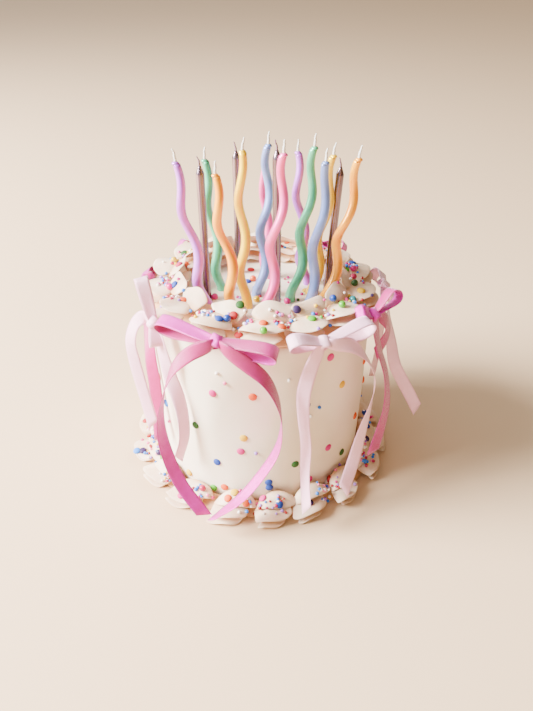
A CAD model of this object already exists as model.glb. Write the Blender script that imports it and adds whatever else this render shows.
import math
import random

import bmesh
import bpy
from mathutils import Matrix, Vector
from mathutils.bvhtree import BVHTree


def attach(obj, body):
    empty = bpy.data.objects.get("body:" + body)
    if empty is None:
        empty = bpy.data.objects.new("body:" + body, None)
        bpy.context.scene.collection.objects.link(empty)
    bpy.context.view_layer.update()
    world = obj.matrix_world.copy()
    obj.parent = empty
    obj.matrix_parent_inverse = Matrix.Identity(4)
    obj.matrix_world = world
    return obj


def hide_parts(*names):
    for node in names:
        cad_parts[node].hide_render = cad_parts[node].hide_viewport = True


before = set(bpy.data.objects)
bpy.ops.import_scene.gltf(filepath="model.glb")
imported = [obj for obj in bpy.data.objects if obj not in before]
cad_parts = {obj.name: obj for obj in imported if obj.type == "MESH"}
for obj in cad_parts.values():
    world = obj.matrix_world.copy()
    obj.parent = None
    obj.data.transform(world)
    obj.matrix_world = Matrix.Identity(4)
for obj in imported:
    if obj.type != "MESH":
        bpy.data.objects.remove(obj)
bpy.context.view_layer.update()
mm = 0.001
fullTurn = 2 * math.pi


def linear(red, green, blue):  # a screen colour, 0 to 255, as Blender's linear one
    parts = []
    for value in (red, green, blue):
        value = value / 255
        parts.append(value / 12.92 if value <= 0.04045 else ((value + 0.055) / 1.055) ** 2.4)
    return (parts[0], parts[1], parts[2], 1.0)


def around(azimuth, radius, height):  # a place by its angle from the front, in millimetres
    angle = math.radians(azimuth)
    return Vector((radius * math.sin(angle), -radius * math.cos(angle), height))


# The camera stands where the photograph was taken from, in millimetres and degrees
view = dict(place=(4.80, -444.35, 373.54), down=32.87, roll=0.87, lens=32.4, pixels=640)


def makeCamera():
    down, roll = math.radians(view["down"]), math.radians(view["roll"])
    ahead = Vector((0, math.cos(down), -math.sin(down)))
    right, up = Vector((1, 0, 0)), Vector((0, math.sin(down), math.cos(down)))
    side = right * math.cos(roll) + up * math.sin(roll)
    top = up * math.cos(roll) - right * math.sin(roll)
    camera = bpy.data.objects.new("camera", bpy.data.cameras.new("camera"))
    turned = Matrix((side, top, -ahead)).transposed().to_4x4()
    camera.matrix_world = Matrix.Translation(Vector(view["place"]) * mm) @ turned
    camera.data.lens = view["lens"]
    camera.data.clip_start = 0.01
    bpy.context.scene.collection.objects.link(camera)
    bpy.context.scene.camera = camera
    return Vector(view["place"]), side, top, ahead


eye, eyeSide, eyeTop, eyeAhead = makeCamera()


def pixelRay(x, y):  # the way that a point of the 533 x 711 picture is seen along
    return (eyeAhead * view["pixels"] + eyeSide * (x - 266.5) + eyeTop * (355.5 - y)).normalized()


print("camera placed")


# Shader groups that several materials share
def newGroup(name, inputs, outputs):
    group = bpy.data.node_groups.new(name, "ShaderNodeTree")
    for label, kind, value in inputs:
        socket = group.interface.new_socket(name=label, in_out="INPUT", socket_type=kind)
        if value is not None:
            socket.default_value = value
    for label, kind in outputs:
        group.interface.new_socket(name=label, in_out="OUTPUT", socket_type=kind)
    return group, group.nodes.new("NodeGroupInput"), group.nodes.new("NodeGroupOutput")


def addNode(tree, kind, **values):
    node = tree.nodes.new(kind)
    for name, value in values.items():
        setattr(node, name, value)
    return node


def makeMottle():  # two tones in soft patches, with a fine and a broad height
    group, start, end = newGroup("mottle", [
        ("Vector", "NodeSocketVector", None), ("Light", "NodeSocketColor", (1, 1, 1, 1)),
        ("Deep", "NodeSocketColor", (0.5, 0.5, 0.5, 1)), ("Patch", "NodeSocketFloat", 20.0),
        ("Grain", "NodeSocketFloat", 900.0), ("Roughness", "NodeSocketFloat", 0.5),
        ("Spread", "NodeSocketFloat", 0.1)], [
        ("Color", "NodeSocketColor"), ("Roughness", "NodeSocketFloat"),
        ("Height", "NodeSocketFloat")])
    link = group.links.new
    patch, grain = addNode(group, "ShaderNodeTexNoise"), addNode(group, "ShaderNodeTexNoise")
    patch.inputs["Detail"].default_value = 3.0
    grain.inputs["Detail"].default_value = 2.0
    link(start.outputs["Vector"], patch.inputs["Vector"])
    link(start.outputs["Patch"], patch.inputs["Scale"])
    link(start.outputs["Vector"], grain.inputs["Vector"])
    link(start.outputs["Grain"], grain.inputs["Scale"])
    tone = addNode(group, "ShaderNodeMix", data_type="RGBA")
    ramp = addNode(group, "ShaderNodeMapRange")
    ramp.inputs["From Min"].default_value = 0.35
    ramp.inputs["From Max"].default_value = 0.65
    link(patch.outputs["Fac"], ramp.inputs["Value"])
    link(ramp.outputs["Result"], tone.inputs["Factor"])
    link(start.outputs["Light"], tone.inputs["A"])
    link(start.outputs["Deep"], tone.inputs["B"])
    link(tone.outputs["Result"], end.inputs["Color"])
    rough = addNode(group, "ShaderNodeMath", operation="MULTIPLY_ADD")
    link(grain.outputs["Fac"], rough.inputs[0])
    link(start.outputs["Spread"], rough.inputs[1])
    link(start.outputs["Roughness"], rough.inputs[2])
    link(rough.outputs["Value"], end.inputs["Roughness"])
    height = addNode(group, "ShaderNodeMath", operation="MULTIPLY_ADD")
    height.inputs[1].default_value = 4.0
    link(patch.outputs["Fac"], height.inputs[0])
    link(grain.outputs["Fac"], height.inputs[2])
    link(height.outputs["Value"], end.inputs["Height"])
    return group


def makeThreads():  # fine threads across a ribbon, and a firmer edge along each side
    group, start, end = newGroup("threads", [
        ("UV", "NodeSocketVector", None), ("Light", "NodeSocketColor", (1, 1, 1, 1)),
        ("Deep", "NodeSocketColor", (0.5, 0.5, 0.5, 1)), ("Threads", "NodeSocketFloat", 60.0)], [
        ("Color", "NodeSocketColor"), ("Height", "NodeSocketFloat")])
    link = group.links.new
    split = addNode(group, "ShaderNodeSeparateXYZ")
    link(start.outputs["UV"], split.inputs["Vector"])
    wave = addNode(group, "ShaderNodeTexWave", bands_direction="X")
    wave.inputs["Distortion"].default_value = 0.6
    wave.inputs["Detail"].default_value = 1.0
    link(start.outputs["UV"], wave.inputs["Vector"])
    link(start.outputs["Threads"], wave.inputs["Scale"])
    edge = addNode(group, "ShaderNodeMath", operation="PINGPONG")  # 0 at both edges
    edge.inputs[1].default_value = 0.5
    link(split.outputs["Y"], edge.inputs[0])
    rim = addNode(group, "ShaderNodeMapRange", interpolation_type="SMOOTHSTEP")
    rim.inputs["From Min"].default_value = 0.03
    rim.inputs["From Max"].default_value = 0.08
    link(edge.outputs["Value"], rim.inputs["Value"])
    drift = addNode(group, "ShaderNodeTexNoise")
    drift.inputs["Scale"].default_value = 1.7
    link(start.outputs["UV"], drift.inputs["Vector"])
    blend = addNode(group, "ShaderNodeMath", operation="MULTIPLY")
    link(drift.outputs["Fac"], blend.inputs[0])
    link(rim.outputs["Result"], blend.inputs[1])
    tone = addNode(group, "ShaderNodeMix", data_type="RGBA")
    link(blend.outputs["Value"], tone.inputs["Factor"])
    link(start.outputs["Deep"], tone.inputs["A"])
    link(start.outputs["Light"], tone.inputs["B"])
    link(tone.outputs["Result"], end.inputs["Color"])
    height = addNode(group, "ShaderNodeMath", operation="MULTIPLY_ADD")
    height.inputs[1].default_value = -1.5
    link(rim.outputs["Result"], height.inputs[0])
    link(wave.outputs["Fac"], height.inputs[2])
    link(height.outputs["Value"], end.inputs["Height"])
    return group


mottle = makeMottle()
threads = makeThreads()


def newMaterial(name, **sockets):
    made = bpy.data.materials.new(name)
    made.use_nodes = True
    shader = made.node_tree.nodes["Principled BSDF"]
    for label, value in sockets.items():
        shader.inputs[label.replace("_", " ")].default_value = value
    return made, made.node_tree, shader


def addBump(tree, shader, height, distance):
    bump = addNode(tree, "ShaderNodeBump")
    bump.inputs["Strength"].default_value = 1.0
    bump.inputs["Distance"].default_value = distance
    tree.links.new(height, bump.inputs["Height"])
    tree.links.new(bump.outputs["Normal"], shader.inputs["Normal"])


def placeMottle(tree, finish, stretch=None):  # the mottle group with one finish's values
    group = addNode(tree, "ShaderNodeGroup", node_tree=mottle)
    place = addNode(tree, "ShaderNodeTexCoord").outputs["Object"]
    if stretch:
        mapping = addNode(tree, "ShaderNodeMapping")
        mapping.inputs["Scale"].default_value = stretch
        tree.links.new(place, mapping.inputs["Vector"])
        place = mapping.outputs["Vector"]
    tree.links.new(place, group.inputs["Vector"])
    labels = dict(light="Light", deep="Deep", patch="Patch", grain="Grain", rough="Roughness",
                  spread="Spread")
    for key, label in labels.items():
        group.inputs[label].default_value = finish[key]
    return group


def mottled(name, finish, stretch=None, **sockets):
    made, tree, shader = newMaterial(name, **sockets)
    group = placeMottle(tree, finish, stretch)
    tree.links.new(group.outputs["Color"], shader.inputs["Base Color"])
    tree.links.new(group.outputs["Roughness"], shader.inputs["Roughness"])
    addBump(tree, shader, group.outputs["Height"], finish["bump"])
    return made


# Building shapes
def finishMesh(bm, name, materials, mend=True):
    if mend:
        bmesh.ops.recalc_face_normals(bm, faces=bm.faces)
    mesh = bpy.data.meshes.new(name)
    bm.to_mesh(mesh)
    bm.free()
    for item in materials:
        mesh.materials.append(item)
    mesh.shade_smooth()
    made = bpy.data.objects.new(name, mesh)
    bpy.context.scene.collection.objects.link(made)
    return made


def sweepRows(bm, rows, closed=False, across=None, along=None):
    # The first row of points is pulled on from row to row; a UV goes with it if asked for
    row = [bm.verts.new(point * mm) for point in rows[0]]
    pairs = list(zip(row, row[1:] + row[:1] if closed else row[1:]))
    edges = [bm.edges.new(pair) for pair in pairs]
    layer = bm.loops.layers.uv.get("ribbonUV") or bm.loops.layers.uv.new("ribbonUV")
    ends = [list(row)]
    for number in range(1, len(rows)):
        out = bmesh.ops.extrude_edge_only(bm, edges=edges)["geom"]
        fresh = set(item for item in out if isinstance(item, bmesh.types.BMVert))
        last = row
        row = [next(e.other_vert(v) for e in v.link_edges if e.other_vert(v) in fresh) for v in row]
        for vert, point in zip(row, rows[number]):
            vert.co = point * mm
        edges = [bm.edges.get(pair) for pair in zip(row, row[1:] + row[:1] if closed else row[1:])]
        if across:
            spots = {}
            for index in range(len(row)):
                spots[last[index]] = (along[number - 1], across[index])
                spots[row[index]] = (along[number], across[index])
            for edge in edges:
                for face in edge.link_faces:
                    if all(loop.vert in spots for loop in face.loops):
                        for loop in face.loops:
                            loop[layer].uv = spots[loop.vert]
        ends.append(list(row))
    return ends


def ringRow(centre, radius, sides):
    row = []
    for side in range(sides):
        angle = fullTurn * side / sides
        row.append(centre + Vector((math.cos(angle), math.sin(angle), 0)) * radius)
    return row


def makeTube(name, path, sides, materials):  # a closed tube through (centre, radius) pairs
    bm = bmesh.new()
    sweepRows(bm, [ringRow(centre, radius, sides) for centre, radius in path], True)
    bmesh.ops.holes_fill(bm, edges=[edge for edge in bm.edges if edge.is_boundary])
    return finishMesh(bm, name, materials)


def surfaceOf(piece):
    graph = bpy.context.evaluated_depsgraph_get()
    return BVHTree.FromObject(piece, graph)


def smooth(piece, levels=1):
    step = piece.modifiers.new("smooth", "SUBSURF")
    step.levels = levels
    step.render_levels = levels


# The iced body of the cake
icing = dict(radius=84.6, height=145.0, steps=144, uneven=(0.45, 0.25), bellyDrop=1.2,
             topDip=0.3, patch=16, grain=700, rough=0.40, spread=0.14, bump=0.00006,
             light=linear(245, 235, 217), deep=linear(235, 222, 200))


def wallRadius(angle, height):
    broad, fine = icing["uneven"]
    ease = broad * math.sin(2 * angle + 0.8) + fine * math.sin(3 * angle + height / 31)
    return icing["radius"] + ease - icing["bellyDrop"] * max(0.0, 1 - height / 60)


def makeIcing():
    bm = bmesh.new()
    tall = icing["height"]
    # reach and height: from the axis for the first two and the last, else from the wall
    outline = [(0, 0), (40, 0), (-5, 0), (-2.4, 0.8), (-0.9, 2.4), (-0.2, 4.0), (0, 6.5)]
    outline += [(0, z) for z in range(14, 138, 8)]
    outline += [(0, tall - 5), (-0.3, tall - 3.2), (-1.2, tall - 1.4), (-2.8, tall - 0.3)]
    outline += [(-4.8, tall), (-14, tall), (-30, tall), (-50, tall), (0, tall)]
    last = len(outline) - 1
    verts = []
    for number, (inset, height) in enumerate(outline):
        reach = inset if number < 2 or number == last else icing["radius"] + inset
        verts.append(bm.verts.new((reach * mm, 0, height * mm)))
    edges = [bm.edges.new(pair) for pair in zip(verts, verts[1:])]
    bmesh.ops.spin(bm, geom=verts + edges, axis=(0, 0, 1), cent=(0, 0, 0), angle=fullTurn,
                   steps=icing["steps"], use_merge=True)
    bmesh.ops.remove_doubles(bm, verts=bm.verts, dist=0.00001)
    for vert in bm.verts:
        angle = math.atan2(vert.co.y, vert.co.x)
        reach = math.hypot(vert.co.x, vert.co.y) / mm
        if reach > 45:  # the wall and the outer top follow its unevenness
            share = wallRadius(angle, vert.co.z / mm) / icing["radius"]
            vert.co.x *= share
            vert.co.y *= share
        if vert.co.z / mm > tall - 0.1:  # shallow ripples left by the smoother
            vert.co.z -= icing["topDip"] * mm * (1 + math.sin(reach / 7 + 3 * angle))
    material = mottled("icing", icing, Subsurface_Weight=0.1, Subsurface_Scale=0.003,
                       Specular_IOR_Level=0.4)
    piece = finishMesh(bm, "icedBody", [material])
    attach(piece, "root")
    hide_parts("cake")
    return piece


icedBody = makeIcing()
print("iced body made")


# The piped ruffles. A unit is one thin ribbon of cream folded to and fro: each layer runs
# from its root to its lip, and turns over into the next layer at its end
cream = dict(light=linear(240, 216, 190), deep=linear(222, 190, 157), shade=linear(206, 158, 112),
             thick=1.2, lipThinning=0.18, jitter=0.10, patch=70, grain=1100, rough=0.42, spread=0.16,
             shadeReach=0.42, dragLines=2.5, bump=0.00008, coreSteps=96)
topOuter = dict(units=14, phase=-25.0, fan=0.34, sweep=80, flick=0.8, wave=0.8, layers=[
    dict(root=(72, 147.5), lip=(90.0, 146.9), half=12.5, bulge=0.2, arch=0.8, round=0.50, skew=4.0),
    dict(root=(70, 151.0), lip=(91.0, 150.0), half=14.5, bulge=0.6, arch=2.0, round=0.55, skew=3.0),
    dict(root=(66, 157.0), lip=(88.0, 154.0), half=17.0, bulge=1.4, arch=4.6, round=0.62, skew=1.0)])
topInner = dict(units=14, phase=-18.0, fan=0.45, sweep=80, flick=0.4, wave=1.3, layers=[
    dict(root=(68, 148.0), lip=(54.5, 147.2), half=10.0, bulge=0.3, arch=0.6, round=0.4, skew=-2.0),
    dict(root=(69, 152.0), lip=(56.0, 153.0), half=12.0, bulge=0.6, arch=2.0, round=0.45, skew=-1.0),
    dict(root=(71, 156.0), lip=(60.0, 162.5), half=14.5, bulge=1.4, arch=4.4, round=0.5, skew=0.5)])
lowOuter = dict(units=18, phase=-11.7, fan=0.42, sweep=84, flick=0.6, wave=1.3, layers=[
    dict(root=(91, 2.6), lip=(110.6, 1.7), half=12.5, bulge=0.2, arch=0.3, round=0.24, skew=8.0,
         slant=3.0),
    dict(root=(88, 8.4), lip=(110.8, 6.0), half=15.5, bulge=1.6, arch=1.8, round=0.28, skew=5.5,
         slant=3.4),
    dict(root=(85.5, 8.6), lip=(100.5, 7.6), half=19.0, bulge=3.4, arch=9.0, round=0.42, skew=0.5,
         crest=0.85, rim=0.42, slant=1.6)])
plainFold = dict(crest=0.35, rim=1.0, slant=0.0)  # a layer's shape where it gives none itself
vary = dict(azimuth=(-1.6, 1.6), half=(0.9, 1.06), lipReach=(-1.6, 0.6), lipRise=(-0.3, 0.6),
            rootRise=(-0.4, 0.4), arch=(0.6, 1.3), skew=(-1.5, 1.5))  # from unit to unit
ruffleSteps = dict(across=7, along=10, turn=5)


def ruffleRow(azimuth, ruffle, low, high, share, side, rng):
    # one row from root to lip, share of the way from the low layer to the high one
    mix = {}
    for key in ("half", "bulge", "arch", "round", "skew", "crest", "rim", "slant"):
        mix[key] = low[key] + (high[key] - low[key]) * share
    root = [a + (b - a) * share for a, b in zip(low["root"], high["root"])]
    lip = [a + (b - a) * share for a, b in zip(low["lip"], high["lip"])]
    row = []
    steps = ruffleSteps["across"]
    swept = math.radians(ruffle["sweep"])
    for step in range(steps + 1):
        part = step / steps
        rounded = 1 - mix["round"] + mix["round"] * math.cos(swept * side)
        reach = root[0] + (lip[0] - root[0]) * part * rounded - mix["slant"] * side * part
        height = root[1] + (lip[1] - root[1]) * part
        height += mix["bulge"] * math.sin(math.pi * part ** 0.8)
        lifted = mix["crest"] + (mix["rim"] - mix["crest"]) * part
        height += mix["arch"] * (1 - side ** 2) * lifted
        height += ruffle["flick"] * part ** 4
        height += ruffle["wave"] * math.sin(side * 4.5 + azimuth * 1.7 + share) * part ** 2
        height = max(height, ruffle["layers"][0]["lip"][1] - 0.7)
        sideways = mix["half"] * math.sin(swept * side) / math.sin(swept)
        sideways *= ruffle["fan"] + (1 - ruffle["fan"]) * part ** 0.8
        sideways -= mix["skew"] * part
        jitter = cream["jitter"] * part ** 4
        spot = around(azimuth + math.degrees(sideways / max(reach, 40)), reach, height)
        row.append(spot + Vector([rng.uniform(-jitter, jitter) for axis in range(3)]))
    return row


def thickRows(rows, thick):  # both faces of a thin layer, row by row, thinner at the lip
    shells = []
    last, tip = len(rows) - 1, len(rows[0]) - 1
    for number, row in enumerate(rows):
        before, after = rows[max(number - 1, 0)], rows[min(number + 1, last)]
        upper, lower = [], []
        for index, spot in enumerate(row):
            along = after[index] - before[index]
            across = row[min(index + 1, tip)] - row[max(index - 1, 0)]
            half = along.cross(across).normalized() * thick
            half *= 0.5 - cream["lipThinning"] * index / tip
            upper.append(spot + half)
            lower.append(spot - half)
        shells.append(upper + lower[::-1])
    return shells


def ruffleUnit(bm, ruffle, unit, rng):
    azimuth = ruffle["phase"] + 360 * unit / ruffle["units"] + rng.uniform(*vary["azimuth"])
    layers = []
    for layer in ruffle["layers"]:
        own = dict(plainFold, **layer)
        own["half"] = layer["half"] * rng.uniform(*vary["half"])
        own["lip"] = (layer["lip"][0] + rng.uniform(*vary["lipReach"]),
                      layer["lip"][1] + rng.uniform(*vary["lipRise"]))
        own["root"] = (layer["root"][0], layer["root"][1] + rng.uniform(*vary["rootRise"]))
        own["arch"] = layer["arch"] * rng.uniform(*vary["arch"])
        own["skew"] = layer["skew"] + rng.uniform(*vary["skew"])
        layers.append(own)
    rows, heading, steps, turnSteps = [], 1, ruffleSteps["along"], ruffleSteps["turn"]
    for number, layer in enumerate(layers):
        for step in range(steps + 1):
            side = heading * (2 * step / steps - 1)
            rows.append(ruffleRow(azimuth, ruffle, layer, layer, 0, side, rng))
        if number + 1 < len(layers):
            for step in range(1, turnSteps):
                angle = math.pi * step / turnSteps
                side = heading * (1 + 0.12 * math.sin(angle))
                share = 0.5 - 0.5 * math.cos(angle)
                rows.append(ruffleRow(azimuth, ruffle, layer, layers[number + 1], share, side, rng))
        heading = -heading
    across = [step / ruffleSteps["across"] for step in range(ruffleSteps["across"] + 1)]
    along = [unit + 0.05 * step for step in range(len(rows))]
    sweepRows(bm, thickRows(rows, cream["thick"]), True, across + across[::-1], along)


def creamCore(bm, outline):  # the rope of cream under the folds
    verts = [bm.verts.new((reach * mm, 0, height * mm)) for reach, height in outline]
    edges = [bm.edges.new(pair) for pair in zip(verts, verts[1:] + verts[:1])]
    bmesh.ops.spin(bm, geom=verts + edges, axis=(0, 0, 1), cent=(0, 0, 0), angle=fullTurn,
                   steps=cream["coreSteps"], use_merge=True)


def creamMaterial():
    made, tree, shader = newMaterial("pipedCream", Subsurface_Weight=0.12, Subsurface_Scale=0.002,
                                     Specular_IOR_Level=0.4)
    group = placeMottle(tree, cream)
    lines = addNode(tree, "ShaderNodeTexNoise")  # faint drag lines that run along the lip
    stretch = addNode(tree, "ShaderNodeMapping")
    stretch.inputs["Scale"].default_value = (2.0, 26.0, 1.0)
    flow = addNode(tree, "ShaderNodeUVMap", uv_map="ribbonUV")
    tree.links.new(flow.outputs["UV"], stretch.inputs["Vector"])
    tree.links.new(stretch.outputs["Vector"], lines.inputs["Vector"])
    lines.inputs["Scale"].default_value = 1.0
    both = addNode(tree, "ShaderNodeMath", operation="MULTIPLY_ADD")
    both.inputs[1].default_value = cream["dragLines"]
    tree.links.new(lines.outputs["Fac"], both.inputs[0])
    tree.links.new(group.outputs["Height"], both.inputs[2])
    split = addNode(tree, "ShaderNodeSeparateXYZ")  # beige in the folds, light at the lips
    tree.links.new(flow.outputs["UV"], split.inputs["Vector"])
    rise = addNode(tree, "ShaderNodeMapRange", interpolation_type="SMOOTHSTEP")
    rise.inputs["From Max"].default_value = cream["shadeReach"]
    tree.links.new(split.outputs["Y"], rise.inputs["Value"])
    tone = addNode(tree, "ShaderNodeMix", data_type="RGBA")
    tone.inputs["A"].default_value = cream["shade"]
    tree.links.new(rise.outputs["Result"], tone.inputs["Factor"])
    tree.links.new(group.outputs["Color"], tone.inputs["B"])
    tree.links.new(tone.outputs["Result"], shader.inputs["Base Color"])
    tree.links.new(group.outputs["Roughness"], shader.inputs["Roughness"])
    addBump(tree, shader, both.outputs["Value"], cream["bump"])
    return made


pipedCream = creamMaterial()


def makeBorder(name, node, ruffles, outline, seed):
    rng = random.Random(seed)
    bm = bmesh.new()
    for ruffle in ruffles:
        for unit in range(ruffle["units"]):
            ruffleUnit(bm, ruffle, unit, rng)
    bmesh.ops.holes_fill(bm, edges=[edge for edge in bm.edges if edge.is_boundary])
    creamCore(bm, outline)
    piece = finishMesh(bm, name, [pipedCream])
    smooth(piece)
    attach(piece, "root")
    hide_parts(node)
    return piece


topCore = [(60, 145.0), (84, 145.0), (85, 147.5), (78, 151), (70, 153), (64, 151), (60, 148)]
lowCore = [(85.5, 0.3), (98, 0.3), (98.5, 2), (94, 5), (89, 8), (85.5, 9)]
topBorder = makeBorder("topRuffles", "top_border", [topOuter, topInner], topCore, 11)
lowBorder = makeBorder("bottomRuffles", "bottom_border", [lowOuter], lowCore, 23)
print("ruffles made")


# Candles: the wax colours, light and deep
wax = {
    "lilac": (linear(208, 118, 238), linear(188, 94, 224)),
    "green": (linear(92, 198, 152), linear(68, 178, 128)),
    "orange": (linear(255, 178, 0), linear(255, 154, 0)),
    "yellow": (linear(255, 218, 0), linear(252, 200, 0)),
    "blue": (linear(140, 164, 228), linear(116, 142, 212)),
    "pink": (linear(255, 106, 186), linear(255, 82, 168)),
}
waxFinish = dict(patch=60, grain=1500, rough=0.34, spread=0.10, bump=0.00002)
candle = dict(radius=3.85, taper=1.25, fade=0.35, sides=20, steps=70, wickRadius=0.95,
              wickLength=8.2)
straightWick = dict(radius=0.8, bend=-1.6, length=6.6)
# colour, x and y at the icing, lean, twist, turn, phase, tip height and wick bend
wavy = {
    "lilac_left": ("lilac", -39.3, -29.0, -0.166, 2.9, 53, 2.45, 253, -1.4),
    "green_left": ("green", -31.1, 2.5, -0.096, 2.4, 50, 2.8, 246, 0.4),
    "orange_left": ("orange", -16.2, -44.0, -0.138, 3.3, 53, 2.65, 250, 0.4),
    "yellow_left": ("yellow", -12.3, -24.5, -0.016, 2.6, 54, 1.55, 260, 1.5),
    "pink_back": ("pink", 4.6, 25.0, -0.037, 2.4, 57, 2.95, 236.5, 0.4),
    "blue_middle": ("blue", -0.7, -3.5, 0.045, 3.1, 52, 4.75, 259.5, 0.4),
    "pink_front": ("pink", 3.5, -42.0, 0.098, 3.3, 54, 4.25, 264, 0.4),
    "lilac_right": ("lilac", 34.6, 15.0, -0.104, 3.0, 50, 2.0, 249, 0.4),
    "green_right": ("green", 24.5, -14.0, 0.095, 2.9, 51, 4.0, 261, 0.4),
    "blue_right": ("blue", 34.1, -31.5, 0.078, 2.6, 57, 5.25, 256, 0.4),
    "yellow_right": ("yellow", 39.6, 1.5, 0.094, 2.7, 51, 5.3, 251.5, 1.3),
    "orange_right": ("orange", 48.0, -20.0, 0.153, 3.0, 50, 4.2, 255.5, 1.6),
}
# x and y at the icing, lean and tip height
straight = {
    "metal_left": (-40.5, -11.2, -0.020, 245.6),
    "metal_back": (-18.9, 34.5, -0.013, 243.8),
    "metal_middle": (12.0, -26.2, -0.021, 261.0),
    "metal_right": (51.0, 6.0, 0.042, 241.3),
}


def waxMaterial(name, tones):
    return mottled(name, dict(waxFinish, light=tones[0], deep=tones[1]), Coat_Weight=0.8,
                   Coat_Roughness=0.12, Metallic=0.4, Specular_IOR_Level=0.4,
                   Sheen_Weight=0.12, Sheen_Roughness=0.3)


metalFinish = dict(light=linear(150, 130, 142), deep=linear(108, 88, 98), patch=700, grain=2500,
                   rough=0.18, spread=0.12, bump=0.00002, streak=(1.0, 1.0, 0.05))


def wickMaterial(name, deep, light):
    made, tree, shader = newMaterial(name, Roughness=0.85, Sheen_Weight=0.3)
    place, wave = addNode(tree, "ShaderNodeTexCoord"), addNode(tree, "ShaderNodeTexWave")
    wave.bands_direction = "DIAGONAL"
    wave.inputs["Scale"].default_value = 700.0
    tree.links.new(place.outputs["Object"], wave.inputs["Vector"])
    tone = addNode(tree, "ShaderNodeMix", data_type="RGBA")
    tone.inputs["A"].default_value = deep
    tone.inputs["B"].default_value = light
    tree.links.new(wave.outputs["Fac"], tone.inputs["Factor"])
    tree.links.new(tone.outputs["Result"], shader.inputs["Base Color"])
    addBump(tree, shader, wave.outputs["Fac"], 0.0002)
    return made


cottonWick = wickMaterial("wickCotton", linear(226, 220, 210), linear(250, 248, 242))
metalWick = wickMaterial("wickWaxed", linear(92, 54, 64), linear(170, 134, 146))


def makeWick(name, tip, radius, bend, length, material):
    path = []
    for step in range(17):
        part = step / 16
        wander = 0.22 * math.sin(part * 11 + tip.x)
        middle = tip + Vector((bend * part ** 2 + wander * part, wander, length * part))
        path.append((middle, radius * (1 - 0.5 * part ** 2) * (1 + 0.10 * math.sin(part * 30))))
    piece = makeTube("thread_" + name, path, 10, [material])
    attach(piece, "root")
    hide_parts("wick_" + name)


def makeWavy(name, spec, material):
    tint, x0, y0, lean, twist, turn, phase, top, bend = spec
    low, start, steps = icing["height"] + 1.5, icing["height"] - 12, candle["steps"]
    heights = [start, low] + [low + (top - low) * step / steps for step in range(1, steps + 1)]
    path = []
    for height in heights:
        rise = max(height, low) - icing["height"]
        part = max(0.0, (height - low) / (top - low))
        fade = 1.0 - candle["fade"] * part ** 2
        angle = fullTurn * rise / turn + phase
        centre = Vector((x0 + lean * rise + twist * fade * math.sin(angle),
                         y0 - twist * fade * math.cos(angle), height))
        path.append((centre, candle["radius"] - candle["taper"] * part ** 1.6))
    tip = path[-1][0]
    path[-1] = (tip - Vector((0, 0, 1.6)), path[-1][1])
    path += [(tip - Vector((0, 0, 0.8)), 2.35), (tip - Vector((0, 0, 0.2)), 1.8), (tip, 1.3)]
    piece = makeTube("taper_" + name, path, candle["sides"], [material])
    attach(piece, "root")
    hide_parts("candle_" + name)
    makeWick(name, tip, candle["wickRadius"], bend, candle["wickLength"], cottonWick)


def makeStraight(name, spec, material):
    x0, y0, lean, top = spec
    path = []
    for height, radius in [(133, 2.8), (146, 2.8), (180, 2.85), (215, 2.95), (top - 6, 3.0),
                           (top - 5, 2.9), (top - 3, 2.1), (top - 1, 1.35), (top, 1.0)]:
        path.append((Vector((x0 + lean * max(0, height - 145), y0, height)), radius))
    piece = makeTube("taper_" + name, path, 24, [material])
    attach(piece, "root")
    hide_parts("candle_" + name)
    makeWick(name, path[-1][0], straightWick["radius"], straightWick["bend"],
             straightWick["length"], metalWick)


waxes = {tint: waxMaterial("wax_" + tint, tones) for tint, tones in wax.items()}
for name, spec in wavy.items():
    makeWavy(name, spec, waxes[spec[0]])
roseMetal = mottled("roseMetalWax", metalFinish, metalFinish["streak"], Metallic=0.95,
                    Coat_Weight=0.3)
for name, spec in straight.items():
    makeStraight(name, spec, roseMetal)
print("candles made")


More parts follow.
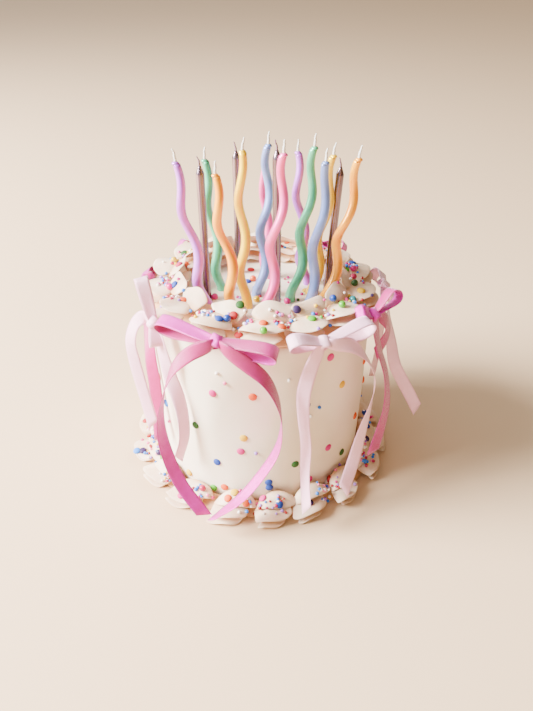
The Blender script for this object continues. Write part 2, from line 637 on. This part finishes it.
# Ribbon bows: colour, knot, two loops (end, half height, roll) and two tails
# (longer edge, route points with the turn of the face), in millimetres and degrees
ribbon = dict(width=10.0, thick=0.35, slant=8.0, tailSteps=44, loopSteps=36, knotSteps=28,
              knotTilt=40, rough=0.38, threads=28.0, bump=0.00003, metal=dict(hot=0.3, pale=0.05),
              hot=(linear(228, 38, 196), linear(196, 8, 144)),
              hotBack=(linear(196, 14, 132), linear(168, 2, 98)),
              pale=(linear(255, 213, 230), linear(255, 190, 215)),
              paleBack=(linear(255, 204, 228), linear(248, 182, 210)))
bows = {
    "bow_front_left": ("hot", (-28, -92, 156), [
        ((-69, -69, 156), 8.0, 16), ((12, -98, 149), 7.5, 14)], [
        (1, [(-34, -97, 155, 0), (-46, -98, 149, 20), (-58, -95, 134, 45),
             (-66, -92, 110, 62), (-69, -93, 86, 80), (-65, -98, 63, 100),
             (-55.5, -105, 41, 112), (-41.5, -112, 22, 112)]),
        (-1, [(-21, -98, 153, 0), (-8, -99, 143, -30), (5, -99, 130, -55),
              (13, -98, 112, -72), (16, -98, 93, -84), (13, -100, 71, -98),
              (1, -105, 50, -108), (-13, -110, 33, -105), (-31, -115, 19, -80)])]),
    "bow_front_right": ("pale", (43, -85, 152), [
        ((19, -95, 157), 6.0, 10), ((77, -62, 153), 8.0, 26)], [
        (1, [(39, -89, 147, 0), (34, -91, 133, 15), (30.5, -92, 113, 40),
             (31.5, -93, 92, 55), (34, -95, 71, 62), (34, -100, 48, 70),
             (35.5, -111, 28, 70)]),
        (-1, [(50, -85, 151, 0), (63, -79, 146, -30), (74, -73, 133, -50),
              (82, -69, 114, -40), (82, -69, 93, -20), (77, -73, 68, 10),
              (72, -79, 44, 30), (66, -89, 27, 30)])]),
    "bow_right": ("hot", (80, -51, 155), [
        ((67, -57, 159), 5.0, 0), ((97, -38, 167), 6.0, 60)], [
        (1, [(81, -54, 149, 0), (86, -52, 128, -10), (94, -52, 104, -5),
             (97, -54, 78, 10), (94, -58, 57, 25), (90, -64, 44, 30)]),
        (-1, [(86, -46, 151, 0), (92, -42, 142, 0), (92, -42, 132, 20),
              (87, -45, 122, 30)])]),
    "bow_right_back": ("pale", (96, 8, 149), [
        ((98, -11, 147), 4.5, 0), ((92, 29, 149), 5.5, 0)], [
        (1, [(99, 0, 144, 0), (100, -6, 125, 30), (105, -8, 103, 60),
             (109, -10, 87, 75), (116, -10, 73, 80), (125, -10, 57, 80),
             (132, -10, 44, 80)]),
        (-1, [(98, 16, 143, 0), (101, 21, 116, 0), (101, 23, 84, 0),
              (99, 25, 54, 0)])]),
    "bow_back_right": ("hot", (50, 84, 150), [
        ((71, 71, 153), 6.5, 0), ((31, 92, 150), 6.0, 0)], [
        (1, [(46, 89, 144, 0), (42, 93, 116, 0), (43, 94, 86, 0), (47, 93, 54, 0)]),
        (-1, [(56, 83, 144, 0), (62, 81, 116, 0), (62, 82, 86, 0), (58, 85, 56, 0)])]),
    "bow_back": ("pale", (-7, 96, 149), [
        ((6, 96, 151), 4.8, 0), ((-19, 95, 151), 4.8, 0)], [
        (1, [(-2, 98, 144, 0), (3, 102, 118, 0), (3, 104, 86, 0), (-1, 104, 54, 0)]),
        (-1, [(-12, 98, 144, 0), (-18, 101, 116, 0), (-19, 102, 86, 0),
              (-15, 103, 56, 0)])]),
    "bow_back_left": ("hot", (-74, 62, 141), [
        ((-65, 70, 158), 4.5, 0), ((-84, 50, 133), 5.0, 0)], [
        (1, [(-72, 66, 134, 0), (-68, 72, 112, 0), (-70, 73, 84, 0), (-72, 70, 54, 0)]),
        (-1, [(-78, 60, 134, 0), (-82, 58, 112, 0), (-84, 58, 84, 0),
              (-82, 60, 56, 0)])]),
    "bow_left_back": ("hot", (-91, 2, 152), [
        ((-88, 18, 153), 3.5, 0), ((-84.5, -9, 160), 3.5, 0)], [
        (1, [(-93, -4, 147, 0), (-90, -14, 134, -10), (-86, -25, 119, -35),
             (-83.5, -36, 102, -50), (-81, -42, 84, -55), (-80, -47, 65, -50),
             (-79, -52, 46, -45)]),
        (-1, [(-93, 10, 148, 0), (-93, 14, 136, 0), (-90, 14, 112, 0),
              (-89, 14, 82, 0), (-89, 12, 54, 0)])]),
    "bow_left": ("pale", (-74, -60, 151), [
        ((-82, -49, 180), 3.0, 0), ((-72, -66, 135), 2.5, 0)], [
        (1, [(-81, -56, 153, 0), (-88, -56, 147, -10), (-92, -57, 134, -25),
             (-91, -57, 118, -38), (-88.5, -58, 102, -40), (-85.5, -59, 84, -38),
             (-82, -61, 65, -35)]),
        (-1, [(-71, -62, 145, 0), (-68, -65, 129, -10), (-64, -67, 110, -40),
              (-59, -70, 94, -70), (-56, -73, 78, -80), (-56, -75, 60, -80),
              (-60, -77, 45, -80)])]),
}


def satinMaterial(name, tones, metal):
    made, tree, shader = newMaterial(name, Roughness=ribbon["rough"], Sheen_Weight=0.6,
                                     Sheen_Roughness=0.4, Metallic=metal, Anisotropic=0.5,
                                     Specular_IOR_Level=0.6)
    group = addNode(tree, "ShaderNodeGroup", node_tree=threads)
    flow = addNode(tree, "ShaderNodeUVMap", uv_map="ribbonUV")
    tree.links.new(flow.outputs["UV"], group.inputs["UV"])
    group.inputs["Light"].default_value = tones[0]
    group.inputs["Deep"].default_value = tones[1]
    group.inputs["Threads"].default_value = ribbon["threads"]
    tree.links.new(group.outputs["Color"], shader.inputs["Base Color"])
    addBump(tree, shader, group.outputs["Height"], ribbon["bump"])
    return made


def curveThrough(points, steps):  # evenly timed places on a smooth curve through the points
    points = [Vector(point) for point in points]
    points = [2 * points[0] - points[1]] + points + [2 * points[-1] - points[-2]]
    spans = len(points) - 3
    places = []
    for step in range(steps + 1):
        part = step * spans / steps
        span = min(int(part), spans - 1)
        part -= span
        a, b, c, d = points[span:span + 4]
        places.append(0.5 * (2 * b + (c - a) * part + (2 * a - 5 * b + 4 * c - d) * part ** 2
                             + (3 * b - a - 3 * c + d) * part ** 3))
    return places


def ribbonRows(path, faces, widths, cup, longer=0):
    rows = []
    last = len(path) - 1
    for number in range(last + 1):
        ahead = (path[min(number + 1, last)] - path[max(number - 1, 0)]).normalized()
        wide = ahead.cross(faces[number]).normalized()
        out = wide.cross(ahead).normalized()
        row = []
        for step in range(7):
            side = step / 3 - 1
            spot = path[number] + wide * side * widths[number] / 2
            spot += out * cup[number] * (1 - side * side)
            if longer and number > last - 4:
                reach = ribbon["slant"] * (0.5 + 0.5 * side * longer)
                spot += ahead * reach * (number - last + 4) / 4
            row.append(spot)
        rows.append(row)
    return rows


def addStrip(bm, rows):
    lengths = [0.0]
    for number in range(1, len(rows)):
        lengths.append(lengths[-1] + (rows[number][3] - rows[number - 1][3]).length)
    along = [length / ribbon["width"] for length in lengths]
    sweepRows(bm, rows, False, [step / 6 for step in range(7)], along)
    return lengths[-1]


def addLoop(bm, knot, lean, loop):
    end, fat, roll = loop
    reach = Vector(end) - knot
    ahead = reach.normalized()
    wide = (lean - ahead * lean.dot(ahead)).normalized()
    rise = ahead.cross(wide)
    rise = -rise if rise.z < 0 else rise
    turn = math.radians(roll)
    wide, rise = (wide * math.cos(turn) + rise * math.sin(turn),
                  rise * math.cos(turn) - wide * math.sin(turn))
    path, widths, cup, steps = [], [], [], ribbon["loopSteps"]
    for step in range(steps + 1):
        angle = fullTurn * step / steps
        forward = (reach.length - 2.2) * (0.5 - 0.5 * math.cos(angle)) ** 0.8
        swell = fat * 1.1 * math.sin(angle) * (0.55 - 0.45 * math.cos(angle))
        lift = 1.2 * math.cos(angle / 2) + swell
        path.append(knot + ahead * (2.2 + forward) + rise * lift)
        near = 1 - math.sin(angle / 2)
        widths.append(ribbon["width"] * (1 - 0.42 * near ** 1.5))
        cup.append((1.5 * near ** 2) * (1 if step < steps / 2 else -1))
    faces = []
    for step in range(steps + 1):
        along = path[min(step + 1, steps)] - path[max(step - 1, 0)]
        faces.append(wide.cross(along).normalized())
    return addStrip(bm, ribbonRows(path, faces, widths, cup))


def addTail(bm, knot, tail):
    longer, bends = tail
    steps = ribbon["tailSteps"]
    start = knot + (Vector(bends[0][:3]) - knot) * 0.12
    path = curveThrough([start] + [bend[:3] for bend in bends], steps)
    turns = curveThrough([(bends[0][3], 0, 0)] + [(bend[3], 0, 0) for bend in bends], steps)
    faces, widths, cup = [], [], []
    for step, spot in enumerate(path):
        ahead = (path[min(step + 1, steps)] - path[max(step - 1, 0)]).normalized()
        out = Vector((spot.x, spot.y, 0)).normalized()
        out = (out - ahead * out.dot(ahead)).normalized()
        angle = math.radians(turns[step].x)
        faces.append(out * math.cos(angle) + ahead.cross(out) * math.sin(angle))
        near = max(0.0, 1 - step / (steps * 0.18))
        widths.append(ribbon["width"] * (1 - 0.42 * near ** 1.3))
        cup.append(1.3 * near ** 1.5 + 0.25)
    return addStrip(bm, ribbonRows(path, faces, widths, cup, longer))


def addKnot(bm, knot, lean, along):
    across = lean.cross(along).normalized()
    rows, steps = [], ribbon["knotSteps"]
    for step in range(steps + 1):
        angle = fullTurn * step / steps
        row = []
        for part in range(7):
            side = part / 3 - 1
            pinch = 1 - 0.16 * side * side + 0.05 * math.cos(7 * side + 2 * math.sin(angle))
            spot = knot + along * 4.1 * pinch * math.cos(angle)
            spot += across * 3.7 * pinch * math.sin(angle)
            spot += lean * (side * 4.4 + 0.5 * math.sin(2 * angle))
            row.append(spot)
        rows.append(row)
    return addStrip(bm, rows)


def makeBow(name, spec, fronts, backs):
    tint, knot, loops, tails = spec
    knot = Vector(knot)
    out = Vector((knot.x, knot.y, 0)).normalized()
    along = Vector((-out.y, out.x, 0))
    tipped = math.radians(ribbon["knotTilt"])
    lean = out * math.cos(tipped) - Vector((0, 0, math.sin(tipped)))
    bm = bmesh.new()
    length = addKnot(bm, knot, lean, along)
    length += sum(addLoop(bm, knot, lean, loop) for loop in loops)
    length += sum(addTail(bm, knot, tail) for tail in tails)
    piece = finishMesh(bm, name.replace("bow", "satin"), [fronts[tint], backs[tint]], mend=False)
    thicken = piece.modifiers.new("cloth", "SOLIDIFY")
    thicken.thickness = ribbon["thick"] * mm
    thicken.offset = 0.0
    thicken.material_offset = 1
    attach(piece, "root")
    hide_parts(name)
    return length


satinFront = {tint: satinMaterial(tint + "Satin", ribbon[tint], metal)
              for tint, metal in ribbon["metal"].items()}
satinBack = {tint: satinMaterial(tint + "SatinReverse", ribbon[tint + "Back"], 0.0)
             for tint in ribbon["metal"]}
for name, spec in bows.items():
    length = makeBow(name, spec, satinFront, satinBack)
    print(name, "ribbon length", round(length), "mm")


# Sprinkles: flat discs, balls and tiny pearls, each kind one piece with its own colours
sugar = {
    "pink": linear(202, 16, 122), "magenta": linear(180, 0, 74), "red": linear(162, 0, 6),
    "orange": linear(212, 78, 0), "yellow": linear(220, 178, 0), "green": linear(20, 80, 0),
    "lime": linear(76, 168, 20), "blue": linear(0, 58, 150), "sky": linear(36, 122, 220),
    "purple": linear(40, 0, 70), "lilac": linear(162, 118, 206), "white": linear(252, 246, 236),
    "teal": linear(24, 140, 144), "rose": linear(240, 120, 170),
}
wallDots = [  # azimuth, height and colour
    (-23, 104, "pink"), (-3, 106, "orange"), (-7.5, 68, "yellow"), (-9, 55, "pink"),
    (-22, 39.5, "blue"), (-34, 69, "green"), (-59, 69, "sky"), (36, 130, "pink"),
    (46, 100, "yellow"), (40, 43.5, "pink"), (53, 27, "green"), (19.5, 39, "green"),
    (24, 94, "blue"), (5.5, 24, "blue"), (72, 100, "orange"), (80, 74, "orange"),
    (65, 53, "orange"), (-67, 87, "orange"),
]
# toppings by the point of the picture where each is seen: x, y, kind, colour
seenToppings = [
    (214.8, 298.7, "ball", "pink"), (237.8, 297.8, "pearl", "pink"), (240, 305, "disc", "green"),
    (256.4, 301.3, "ball", "yellow"), (247.3, 281.8, "disc", "blue"),
    (253, 280.5, "ball", "orange"), (250.8, 270, "disc", "red"), (260, 297, "pearl", "red"),
    (277, 312.5, "pearl", "pink"), (270, 310, "pearl", "white"), (287, 303, "ball", "pink"),
    (301.7, 294.6, "pearl", "pink"), (306, 291, "disc", "yellow"), (288, 278, "pearl", "pink"),
    (331.7, 299, "ball", "blue"), (296.7, 309.6, "disc", "purple"), (298, 300.4, "pearl", "green"),
    (325.4, 310.8, "ball", "magenta"), (342, 306.7, "ball", "lime"), (354, 300.4, "ball", "teal"),
    (354.6, 285, "ball", "green"), (361, 291, "disc", "yellow"), (351.7, 278.3, "ball", "magenta"),
    (353.3, 270.4, "ball", "pink"), (371.7, 295.4, "pearl", "purple"),
    (318.3, 329, "pearl", "lilac"), (307.5, 318, "pearl", "yellow"), (312, 319, "disc", "lime"),
    (321, 318, "pearl", "lime"), (324, 316.7, "pearl", "red"), (330, 326, "pearl", "sky"),
    (282, 327, "disc", "orange"), (233.4, 315.6, "disc", "red"), (226, 320, "ball", "blue"),
    (219, 319, "disc", "blue"), (214, 316.4, "pearl", "white"), (208, 316, "pearl", "sky"),
    (203, 316, "pearl", "white"), (229, 314.3, "pearl", "lilac"), (238.6, 335.5, "disc", "red"),
    (263.3, 323.4, "disc", "orange"), (263.3, 332.5, "ball", "lime"),
    (276.8, 324.7, "pearl", "sky"), (184, 300, "disc", "orange"), (190, 311, "pearl", "sky"),
    (169.7, 288.7, "ball", "pink"), (174.5, 284.8, "disc", "blue"), (178.8, 279.6, "pearl", "pink"),
    (185.8, 266.6, "ball", "orange"), (166.3, 273.5, "pearl", "sky"),
    (145.9, 421, "disc", "red"), (153.3, 421.4, "disc", "yellow"), (150, 435.2, "disc", "red"),
    (155.7, 438.7, "ball", "blue"), (137, 451, "disc", "sky"), (143, 450.8, "disc", "purple"),
    (147.7, 453.6, "pearl", "blue"), (159.9, 453, "ball", "purple"), (163.6, 457.3, "disc", "lime"),
    (189.7, 472.3, "disc", "yellow"), (202.8, 489, "ball", "magenta"), (214, 487.2, "disc", "lime"),
    (224.7, 486.7, "disc", "orange"), (181.3, 495.6, "disc", "pink"), (228, 498.4, "disc", "orange"),
    (234.5, 492.8, "disc", "yellow"), (245.7, 503, "disc", "orange"), (263, 498.6, "disc", "pink"),
    (269.3, 487, "disc", "blue"), (279.4, 504.5, "disc", "blue"), (308.8, 478.8, "disc", "pink"),
    (329.3, 478.8, "disc", "red"), (325.8, 481.1, "ball", "white"), (309.7, 503, "disc", "purple"),
    (309.3, 499.3, "pearl", "pink"), (326.3, 486.7, "pearl", "blue"), (339, 464.3, "pearl", "lilac"),
    (366.7, 426, "disc", "blue"), (365.7, 439, "disc", "purple"),
]
# tiny pearls seen on the wall, by their points of the picture
seenOnWall = [(217, 373), (225, 383), (256, 453), (289, 380), (319, 407), (310, 416), (170, 421)]
sizes = dict(disc=(3.1, 1.45), ball=(2.6, 2.6), pearl=(1.3, 1.3))  # half width, half height
lifts = dict(disc=0.5, ball=1.9, pearl=0.6)  # how far each kind's middle stands off the cream
kinds = {kind: bmesh.new() for kind in sizes}
tintLayers = {kind: bm.verts.layers.float_color.new("tint") for kind, bm in kinds.items()}


def addSugar(kind, spot, normal, colour, scale=1.0):
    bm, (wide, tall) = kinds[kind], sizes[kind]
    turned = Vector(normal).normalized().to_track_quat("Z", "Y").to_matrix().to_4x4()
    shape = Matrix.Diagonal((wide * scale * mm, wide * scale * mm, tall * scale * mm, 1))
    place = Matrix.Translation(spot) @ turned @ shape
    if kind == "disc":
        made = bmesh.ops.create_uvsphere(bm, u_segments=16, v_segments=8, radius=1, matrix=place)
    else:
        detail = 3 if kind == "ball" else 2
        made = bmesh.ops.create_icosphere(bm, subdivisions=detail, radius=1, matrix=place)
    for vert in made["verts"]:
        vert[tintLayers[kind]] = sugar[colour]


icingSurface, topSurface, lowSurface = surfaceOf(icedBody), surfaceOf(topBorder), surfaceOf(lowBorder)


def firstHit(start, way, surfaces):
    best = None
    for surface in surfaces:
        spot, normal, index, distance = surface.ray_cast(start, way)
        if spot and (best is None or distance < best[2]):
            best = (spot, normal, distance)
    return best


def dropSugar(kind, hit, colour, scale=1.0):
    spot, normal = hit[0], hit[1]
    lift = lifts[kind] * scale
    addSugar(kind, spot + normal * lift * mm, normal, colour, scale)


for azimuth, height, colour in wallDots:
    reach = wallRadius(math.radians(azimuth - 90), height) + 0.2
    addSugar("disc", around(azimuth, reach, height) * mm, around(azimuth, 1, 0), colour)
for x, y, kind, colour in seenToppings:
    hit = firstHit(eye * mm, pixelRay(x, y), (icingSurface, topSurface, lowSurface))
    if hit:
        dropSugar(kind, hit, colour)
for number, (x, y) in enumerate(seenOnWall):
    hit = firstHit(eye * mm, pixelRay(x, y), (icingSurface,))
    if hit:
        dropSugar("pearl", hit, ("white", "rose", "lilac", "white", "sky")[number % 5], 1.1)


def scatterSugar(surface, count, reach, seed, behind, groups):
    rng = random.Random(seed)
    tints = ["white", "white", "rose", "pink", "lilac", "sky", "sky", "yellow", "red", "magenta"]
    middles = [360 * (group + rng.uniform(0.2, 0.8)) / groups for group in range(groups)]
    for number in range(count):
        azimuth = rng.choice(middles) + rng.gauss(0, 3.4)
        radius = rng.gauss(reach[0], reach[1])
        start = around(azimuth, radius, 190) * mm
        hit = firstHit(start, Vector((0, 0, -1)), (surface,))
        if hit and hit[1].z > 0.25:
            dropSugar("pearl", hit, rng.choice(tints), rng.uniform(0.7, 1.15))
    big = ["red", "pink", "blue", "orange", "yellow", "green", "lime", "purple", "magenta", "sky"]
    for number in range(behind):
        azimuth = 92 + 176 * (number + rng.uniform(0.1, 0.9)) / behind
        radius = rng.gauss(reach[0], reach[1])
        hit = firstHit(around(azimuth, radius, 190) * mm, Vector((0, 0, -1)), (surface,))
        if hit and hit[0].z > 4.5 * mm and hit[1].z > 0.6:
            dropSugar(rng.choice(["disc", "ball", "disc"]), hit, rng.choice(big))


scatterSugar(topSurface, 260, (72, 4.0), 5, 17, 16)
scatterSugar(lowSurface, 400, (97.5, 3.8), 8, 26, 20)
scatterSugar(icingSurface, 46, (25, 18), 9, 0, 40)


def sugarMaterial(name, rough, coat, metal):
    made, tree, shader = newMaterial(name, Roughness=rough, Coat_Weight=coat, Metallic=metal,
                                     Specular_IOR_Level=0.25)
    tint = addNode(tree, "ShaderNodeAttribute", attribute_name="tint")
    grain = addNode(tree, "ShaderNodeTexNoise")
    place = addNode(tree, "ShaderNodeTexCoord")
    tree.links.new(place.outputs["Object"], grain.inputs["Vector"])
    grain.inputs["Scale"].default_value = 1800.0
    pale = addNode(tree, "ShaderNodeMix", data_type="RGBA")
    pale.inputs["B"].default_value = (1, 1, 1, 1)
    share = addNode(tree, "ShaderNodeMath", operation="MULTIPLY")
    share.inputs[1].default_value = 0.04
    tree.links.new(grain.outputs["Fac"], share.inputs[0])
    tree.links.new(share.outputs["Value"], pale.inputs["Factor"])
    tree.links.new(tint.outputs["Color"], pale.inputs["A"])
    tree.links.new(pale.outputs["Result"], shader.inputs["Base Color"])
    addBump(tree, shader, grain.outputs["Fac"], 0.00003)
    return made


finishes = dict(disc=sugarMaterial("pressedSugar", 0.6, 0.0, 0.0),
                ball=sugarMaterial("pearlSugar", 0.28, 0.4, 0.1),
                pearl=sugarMaterial("tinySugar", 0.35, 0.3, 0.1))
for kind, label in (("disc", "confettiDiscs"), ("ball", "sugarBalls"), ("pearl", "sugarPearls")):
    piece = finishMesh(kinds[kind], label, [finishes[kind]], mend=False)
    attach(piece, "root")
    print(label, len(piece.data.polygons), "faces")


# The plain floor and the soft light
studio = dict(floor=linear(220, 190, 152), side=60.0, room=2.2)
keyLight = dict(azimuth=-80, rise=31, distance=2.2, size=1.2, power=440.0,
                colour=(1.0, 0.98, 0.97))
roomTones = [(0.0, (0.80, 0.80, 0.82)), (0.35, (0.62, 0.60, 0.58)), (0.62, (0.13, 0.085, 0.05)),
             (1.0, (0.20, 0.125, 0.06))]  # from the left of the room to the right


def makeFloor():
    bm = bmesh.new()
    bmesh.ops.create_grid(bm, x_segments=1, y_segments=1, size=studio["side"] / 2)
    material, tree, shader = newMaterial("paleFloor", Roughness=0.7)
    shader.inputs["Base Color"].default_value = studio["floor"]
    piece = finishMesh(bm, "floor", [material])


def makeKeyLight():
    lamp = bpy.data.lights.new("key", "AREA")
    lamp.shape = "DISK"
    lamp.size, lamp.energy, lamp.color = keyLight["size"], keyLight["power"], keyLight["colour"]
    rise, distance = math.radians(keyLight["rise"]), keyLight["distance"]
    spot = around(keyLight["azimuth"], distance * math.cos(rise), distance * math.sin(rise))
    made = bpy.data.objects.new("key", lamp)
    made.location = spot + Vector((0, 0, 0.1))
    made.rotation_euler = (-spot).to_track_quat("-Z", "Y").to_euler()
    bpy.context.scene.collection.objects.link(made)


def makeRoom():  # bright and neutral on the left, dim and warm on the right
    world = bpy.data.worlds.new("room")
    world.use_nodes = True
    tree = world.node_tree
    place, split = addNode(tree, "ShaderNodeTexCoord"), addNode(tree, "ShaderNodeSeparateXYZ")
    tree.links.new(place.outputs["Generated"], split.inputs["Vector"])
    across = addNode(tree, "ShaderNodeMapRange")
    across.inputs["From Min"].default_value = -1.0
    tree.links.new(split.outputs["X"], across.inputs["Value"])
    tone = addNode(tree, "ShaderNodeValToRGB")
    stops = tone.color_ramp.elements
    while len(stops) < len(roomTones):
        stops.new(0.5)
    for stop, (share, tint) in zip(stops, roomTones):
        stop.position, stop.color = share, (*tint, 1)
    tree.links.new(across.outputs["Result"], tone.inputs["Fac"])
    tree.links.new(tone.outputs["Color"], tree.nodes["Background"].inputs["Color"])
    tree.nodes["Background"].inputs["Strength"].default_value = studio["room"]
    bpy.context.scene.world = world


makeFloor()
makeKeyLight()
makeRoom()
print("floor and lights made")
